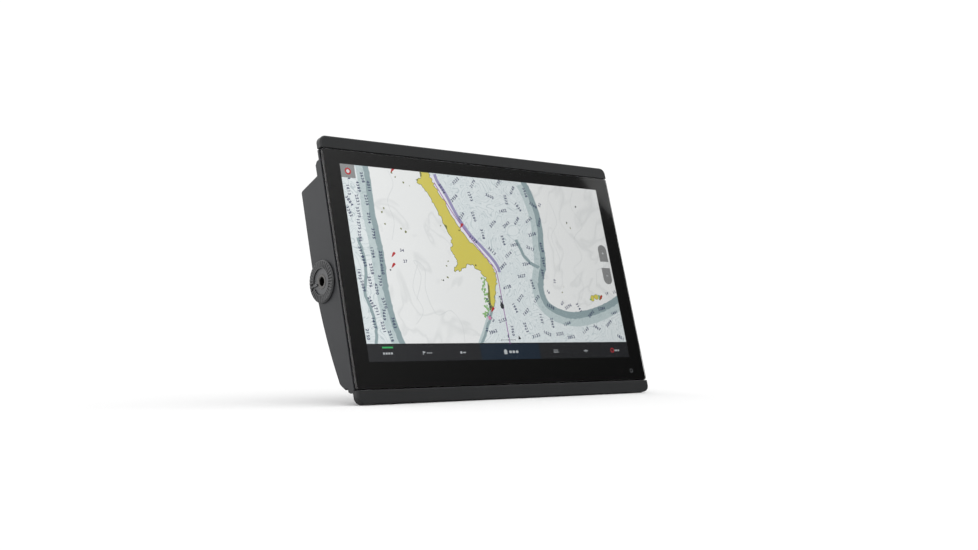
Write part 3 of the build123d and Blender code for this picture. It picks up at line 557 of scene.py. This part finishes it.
def rounded(u0, v0, u1, v1, radii, steps=6):
    """A rectangle with its own corner radius at each corner: lower left, lower right, upper right, upper left."""
    centres = ((u0, v0, 1, 1, 180), (u1, v0, -1, 1, 270), (u1, v1, -1, -1, 0), (u0, v1, 1, -1, 90))
    outline = []
    for (u, v, su, sv, start), radius in zip(centres, radii):
        for step in range(steps + 1):
            turn = math.radians(start + 90 * step / steps)
            outline.append((u + su * radius + radius * math.cos(turn), v + sv * radius + radius * math.sin(turn)))
    return outline


def ring(u, v, outer, inner, steps=20):
    """A ring as short four-sided pieces."""
    turns = [math.tau * k / steps for k in range(steps + 1)]
    return [[(u + r * math.sin(t), v + r * math.cos(t)) for r, t in ((inner, a), (outer, a), (outer, b), (inner, b))]
            for a, b in zip(turns, turns[1:])]


def disc(u, v, radius, steps=16):
    return [(u + radius * math.cos(math.tau * k / steps), v + radius * math.sin(math.tau * k / steps))
            for k in range(steps)]


# The invented coast, in mm from the picture's lower left corner.
WEST_EDGE = [(33, 196), (33.5, 170), (33, 146), (35, 120), (35.5, 96), (35, 74), (37, 46), (45, 14)]
EAST_EDGE = [(239, 196), (247, 176), (251, 150), (248, 122), (245, 100), (237, 80), (238, 64), (251, 54.5),
             (274, 50.5), (300, 54), (326, 61.5), (347, 71)]
ISLAND_EAST = [(107, 196), (110, 183), (118, 170), (129, 146), (141, 128), (156, 113), (169, 98), (172, 87),
               (168, 70), (163, 55)]
ISLAND_WEST = [(157, 50), (158.5, 66), (160, 80), (153, 91), (141, 98.5), (127, 93), (118.5, 91), (125, 101),
               (120, 112), (122, 125), (115, 143), (107, 161), (98, 176), (90, 184), (97, 190), (96, 196)]
ISLAND_FOOT = [(172, 87), (168, 70), (162, 54), (153, 36), (139, 14)]


def make_chart():
    """The chart page: shoals, deeps, islands, route and soundings, all invented."""
    width, top = PICTURE_WIDTH, PICTURE_HEIGHT
    west = curve_through(WEST_EDGE)
    east = curve_through(EAST_EDGE)
    coast = curve_through(ISLAND_EAST)
    foot = curve_through(ISLAND_FOOT)
    bank = lit("chart_shoal", "#EDEDED", "#F1F1F0", 40.0, 0.11, "#DCDDDD", 60.0)
    deep = lit("chart_deep", "#EBEFF0", "#DCE4E6", 10.0, 0.024, "#9DAEB4", 34.0)
    slope = lit("chart_slope", "#BAC9CB", "#CAD5D6", 7.0, 0.03, "#A3B2B5", 26.0)
    drop = lit("chart_drop_off", "#98A9AC", "#8C9FA3", 4.0)
    show("chart_bank", [rectangle(0, MENU_HEIGHT, width, top)], 0, bank)
    west_deep = [(0, top), *(inside_map(u, v) for u, v in west), (0, MENU_HEIGHT)]
    middle = [inside_map(u, v) for u, v in coast[:-9]] + [inside_map(u, v) for u, v in foot]
    middle_deep = middle + [(width, MENU_HEIGHT)] + [inside_map(u, v) for u, v in east[::-1]]
    show("chart_deeps", [west_deep, middle_deep], 1, deep)
    slopes = [(west, 0, 15.0), (east, 0, 16.0), (foot, 0, 6.0)]
    show("chart_slopes", [[inside_map(u, v) for u, v in band(line, *sides)] for line, *sides in slopes], 2, slope)
    drops = [(west, 0, 6.5), (east, 0, 7.5), (foot[8:], 0, 3.0)]
    far_west = curve_through([(9, 120), (13, 92), (8, 66), (14, 40), (11, 14)])
    drops.append((far_west, 1.2, 2.2))
    bay = curve_through([(210, 128), (217, 112), (226, 103), (236, 99)])
    drops.append((bay, 1.5, 2.5))
    edges = [[inside_map(u, v) for u, v in band(ragged(line, 0.35, 3), *sides)] for line, *sides in drops]
    show("chart_drop_offs", edges, 3, drop)
    make_contours()
    make_route(coast)
    make_islands(coast)
    make_soundings(west, east, coast)


def make_contours():
    grey = lit("chart_contour_ink", "#C9CCCD", "#D3D5D5", 20.0)
    lines = [
        [(66, 60), (76, 84), (70, 100), (82, 92), (79, 70), (88, 46), (106, 50), (117, 36), (117, 18)],
        [(61, 36), (72, 50), (64, 72), (74, 96)],
        [(288, 64), (296, 82), (286, 98), (302, 112), (296, 134), (312, 150), (300, 172), (308, 190)],
        [(316, 80), (322, 98), (334, 104), (330, 126)],
        [(262, 92), (268, 110), (262, 134), (274, 152), (268, 176)],
        [(48, 120), (54, 140), (50, 160), (60, 178), (56, 192)],
    ]
    show("chart_contours", [band(curve_through(line), 0.18, 0.18) for line in lines], 4, grey)


def make_route(coast):
    violet = lit("chart_fairway", "#A29CC0", "#9089B4", 6.0)
    white = lit("chart_fairway_edge", "#F0EDF4", "#E6E2EE", 6.0)
    plum = lit("chart_route_ink", "#A24FA6", "#8B4796", 5.0)
    lane = [(u + 6.0, v + 3.0) for u, v in coast[4:56]]
    strip = [(u + 2.2, v + 1.2) for u, v in coast[4:54]]
    show("chart_fairway", [[inside_map(u, v) for u, v in band(lane, 2.2, 1.6)]], 4, violet)
    show("chart_fairway_edge", [[inside_map(u, v) for u, v in band(strip, 2.2, 2.0)]], 5, white)
    leg = [(112, 184), (130, 152), (152, 121), (171, 98), (174.5, 88), (175, 60), (175.5, 16)]
    show("chart_route", [band(curve_through(leg, 6), 0.45, 0.45)], 8, plum)


def make_islands(coast):
    sand = lit("chart_land", "#DCCF60", "#D2C455", 16.0)
    olive = lit("chart_coastline", "#7F8347", "#6C7040", 4.0)
    green = lit("chart_drying_flat", "#7FB06C", "#96BE80", 3.0)
    land = coast + curve_through(ISLAND_WEST)
    rough = [inside_map(u, v) for u, v in ragged(land, 0.8, 11)]
    islets = []
    chance = random.Random(5)
    for u, v in ((41, 148), (42.5, 136), (44, 152), (60, 190), (64, 186), (73, 181), (80, 178), (110, 96), (109, 84),
                 (61, 132), (66, 129), (101, 81), (113, 101), (289, 151), (293, 146), (262, 72), (266, 78), (111, 138)):
        size = chance.uniform(0.5, 1.3)
        islets.append(ragged(disc(u, v, size, 8), size * 0.25, int(u)))
    far = [ragged(disc(u, v, r, 12), 0.5, int(u)) for u, v, r in ((306, 66, 3.0), (312, 67.5, 3.4), (318, 67, 2.6))]
    outline = [band(rough + rough[:1], 0.32, 0.32)]
    show("chart_land", [rough] + far[:2], 6, sand)
    show("chart_coastline", outline + islets + [band(shape + shape[:1], 0.2, 0.2) for shape in far], 7, olive)
    fringe = curve_through([(155, 83), (154, 72), (155, 62), (152, 50), (149, 46)])
    tufts = []
    for u, v in ragged(fringe * 2, 1.6, 8):
        tufts.append(ragged(disc(u, v, chance.uniform(0.6, 1.5), 7), 0.35, int(v * 7)))
    tufts += [far[2]] + [ragged(disc(303, 65, 1.4, 7), 0.3, 2), ragged(disc(321, 69, 1.2, 7), 0.3, 4)]
    show("chart_drying_flats", tufts, 7, green)


def digit_shapes():
    """Flat outlines of the numerals, one unit high, as (points, faces)."""
    shapes = {}
    for digit in "0123456789":
        curve = bpy.data.curves.new("numeral", "FONT")
        curve.body = digit
        curve.resolution_u = 2
        curve.offset = 0.03
        holder = bpy.data.objects.new("numeral", curve)
        mesh = bpy.data.meshes.new_from_object(holder)
        shapes[digit] = ([(v.co.x, v.co.y) for v in mesh.vertices], [tuple(p.vertices) for p in mesh.polygons])
        bpy.data.objects.remove(holder)
        bpy.data.curves.remove(curve)
        bpy.data.meshes.remove(mesh)
    return shapes


def write_numbers(name, entries, layer, made):
    """Numbers of the chart as one piece; entries are (text, u, v, turn in degrees, height in mm)."""
    shapes = digit_shapes()
    points, faces = [], []
    for text, u, v, turn, height in entries:
        c, s = math.cos(math.radians(turn)), math.sin(math.radians(turn))
        for place, digit in enumerate(text):
            outline, fills = shapes[digit]
            first = len(points)
            shift = (place - len(text) / 2) * 0.62
            for x, y in outline:
                x, y = (x + shift) * height * 1.4, (y - 0.35) * height * 1.4
                points.append(spot(u + x * c - y * s, v + x * s + y * c, layer))
            faces += [tuple(first + k for k in fill) for fill in fills]
    mesh = bpy.data.meshes.new(name)
    mesh.from_pydata(points, [], faces)
    mesh.materials.append(made)
    piece = bpy.data.objects.new(name, mesh)
    scene.collection.objects.link(piece)
    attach(piece, "unit")


def nearest(line, u, v):
    return min(math.hypot(u - a, v - b) for a, b in line)


def edge_at(line, v):
    """Where a line that runs up the chart crosses the height v."""
    return min(line, key=lambda p: abs(p[1] - v))[0]


def make_soundings(west, east, coast):
    navy = lit("chart_sounding_ink", "#232C5E", "#1C2450", 3.0)
    chance = random.Random(21)
    placed = []
    tries = [(chance.uniform(3, PICTURE_WIDTH - 4), chance.uniform(MENU_HEIGHT + 4, PICTURE_HEIGHT - 4))
             for _ in range(1600)]
    for u, v in tries:
        in_west = u < edge_at(west, v) - 3
        in_middle = edge_at(coast, v) + 8 < u < edge_at(east[:60], v) - 2 if v > 60 else u > edge_at(west, v) + 110
        in_east = v < 60 and u > 150 and nearest(east, u, v) > 4 and v < 48
        gap = 9.0 if in_west else 14.0
        if not (in_west or in_middle or in_east) or nearest(placed or [(-99, -99)], u, v) < gap:
            continue
        placed.append((u, v))
    entries = []
    for u, v in placed:
        steep = u < 40 or chance.random() < 0.3
        turn = chance.gauss(-82, 9) if steep else chance.choice((-55, -28, 12, 32, 48)) + chance.gauss(0, 6)
        entries.append((str(chance.randint(1050, 4420)), u, v, turn, 3.3))
    shoal = [("34", 58, 110, 0), ("27", 60, 99, 0), ("52", 253, 170, 60), ("10", 254, 84, 85), ("16", 242, 72, -40),
             ("8", 175, 24, 0), ("41", 148, 31, 80), ("12", 342, 74, 20), ("19", 330, 72, 15), ("60", 259, 60, 45)]
    entries += [(text, u, v, turn, 3.0) for text, u, v, turn in shoal]
    write_numbers("chart_soundings", entries, 9, navy)


def make_marks():
    """Buoys, own position, scale bar, north arrow and the buttons over the chart."""
    red = lit("chart_red", "#C22B30", "#A92328", 3.0)
    dark = lit("chart_dark", "#23262B", "#2C3036", 4.0)
    grey = lit("button_face", "#8E8E8E", "#868686", 8.0)
    pale = lit("icon_ink", "#D9DBDC", "#CDD0D2", 4.0)
    rose = lit("chart_rose", "#D98FB0", "#CF7FA6", 3.0)
    buoys = []
    for u, v in ((46.5, 105), (44.5, 94), (138, 139.5), (160, 51.5), (319, 67), (61.5, 193)):
        drop = [(u - 2.6, v - 2.8), (u - 0.4, v - 1.6), *[(u + 1.3 + 1.7 * math.sin(t), v + 1.2 + 1.7 * math.cos(t))
                for t in (1.6, 0.9, 0.2, -0.5, -1.2)], (u - 1.4, v - 0.2)]
        buoys.append(drop[::-1])
    show("chart_buoys", buoys, 10, red)
    show("chart_anchorage", [ragged(disc(154.5, 43, 2.0, 10), 0.3, 6)], 10, rose)
    hull = [(173.7, 66), (174.9, 59), (176.3, 56.5), (175.9, 53.5), (173.8, 52.5), (171.7, 53.5), (171.3, 56.5),
            (172.5, 59)]
    bow = [(173.8, 63.5), (174.7, 60.4), (173.8, 59.2), (172.9, 60.4)]
    anchors = [disc(40.5, 89.5, 0.9), disc(134, 134.5, 0.8), disc(307.5, 171.5, 1.1), disc(148, 98, 0.9),
               disc(289, 152, 0.8), disc(103, 81, 0.8)]
    scale = [rectangle(164.5, 19.9, 183.5, 20.3), rectangle(164.5, 19.3, 164.9, 21.0),
             rectangle(183.1, 19.3, 183.5, 21.0), rectangle(173.8, 19.3, 174.2, 21.0)]
    north = [(187.8, 20.4), (191.6, 21.0), (188.9, 24.8)]
    show("chart_own_position", [hull, *anchors, *scale, north], 10, dark)
    show("chart_own_bow", [bow], 11, pale)
    show("zoom_buttons", [rounded(329.5, 108.8, 342.5, 128.3, (0.4, 0.4, 6.2, 6.2)),
         rounded(329.5, 82.8, 342.5, 101.6, (6.2, 6.2, 0.4, 0.4)), rectangle(0, 180.5, 16.4, PICTURE_HEIGHT)], 10, grey)
    plus = [rectangle(334.6, 118.2, 337.4, 118.8), rectangle(335.7, 117.1, 336.3, 119.9)]
    minus = [rectangle(334.6, 92.2, 337.4, 92.8)]
    show("zoom_signs", plus + minus, 11, pale)
    show("alarm_ring", ring(8.3, 187.2, 3.6, 1.9), 11, red)
    show("alarm_core", [disc(8.3, 187.2, 1.9)], 11, pale)


def make_menu():
    """The bar of buttons along the picture's foot, with plain signs in place of words."""
    slate = lit("menu_button_face", "#1D1E22", "#191A1D", 30.0)
    line = lit("menu_divider", "#0E0F11", "#121316", 30.0)
    blue = lit("home_button_face", "#0E2233", "#0B1B2A", 30.0)
    pale = lit("menu_sign_ink", "#C3C6C9", "#AEB2B6", 3.0)
    green = lit("menu_green", "#3FBF6C", "#35AB5E", 4.0)
    red = lit("menu_red", "#C8323A", "#B32A32", 3.0)
    ends = [0.0, 45.2, 90.0, 135.0, 214.8, 259.4, 302.0, PICTURE_WIDTH]
    show("menu_bar", [rectangle(0, 0, PICTURE_WIDTH, MENU_HEIGHT)], 0, line)
    faces = [rectangle(a + 0.35, 0, b - 0.35, MENU_HEIGHT - 0.7) for a, b in zip(ends, ends[1:])]
    show("menu_buttons", faces[:3] + faces[4:], 1, slate)
    show("home_button", [faces[3]], 1, blue)
    middles = [(a + b) / 2 for a, b in zip(ends, ends[1:])]
    row = MENU_HEIGHT / 2 - 0.8
    signs = []
    for offset in (-4.5, -1.5, 1.5, 4.5):
        signs.append(rounded(middles[0] + offset - 1.0, row - 1.0, middles[0] + offset + 1.0, row + 1.0, (0.5,) * 4))
    flag = middles[1]
    signs += [rectangle(flag - 4.2, row - 1.8, flag - 3.6, row + 1.8),
              [(flag - 3.4, row - 0.2), (flag - 3.4, row + 1.8), (flag - 0.6, row + 0.8)]]
    signs += [rectangle(flag + 0.6 + 2.2 * k, row - 0.4, flag + 2.2 + 2.2 * k, row + 0.4) for k in range(3)]
    signs += [disc(middles[2] - 2.2, row, 1.3), rectangle(middles[2], row - 0.5, middles[2] + 3.6, row + 0.5)]
    home = middles[3]
    house = [(home - 9.2, row - 2.4), (home - 5.2, row - 2.4), (home - 5.2, row + 0.6), (home - 4.4, row + 0.6),
             (home - 7.2, row + 3.0), (home - 10.0, row + 0.6), (home - 9.2, row + 0.6)]
    signs += [house] + [rounded(home - 2.4 + 4.4 * k, row - 1.3, home + 1.0 + 4.4 * k, row + 1.3, (0.8,) * 4)
                        for k in range(3)]
    signs += [rectangle(middles[4] - 3.4, row - 1.5 + 1.3 * k, middles[4] + 3.4, row - 1.1 + 1.3 * k) for k in range(3)]
    signs += [rectangle(middles[5] - 0.35, row - 1.7, middles[5] + 0.35, row + 1.7),
              rectangle(middles[5] - 3.2, row - 0.35, middles[5] - 0.6, row + 0.35),
              rectangle(middles[5] + 0.6, row - 0.35, middles[5] + 3.2, row + 0.35)]
    signs += [rounded(middles[6] + 0.6 + 2.6 * k, row - 0.9, middles[6] + 2.6 + 2.6 * k, row + 0.9, (0.5,) * 4)
              for k in range(3)]
    show("menu_signs", signs, 2, pale)
    show("menu_green_light", [rectangle(17.0, MENU_HEIGHT - 4.4, 29.3, MENU_HEIGHT - 3.0)], 2, green)
    show("menu_red_ring", ring(middles[6] - 2.8, row + 0.2, 2.6, 1.7), 2, red)


make_camera()
make_world()
make_floor()
make_light("right_softbox", in_room(1.3, -0.35, 0.75), 0.9, 2.0)
dress_nodes()
make_chart()
make_marks()
make_menu()
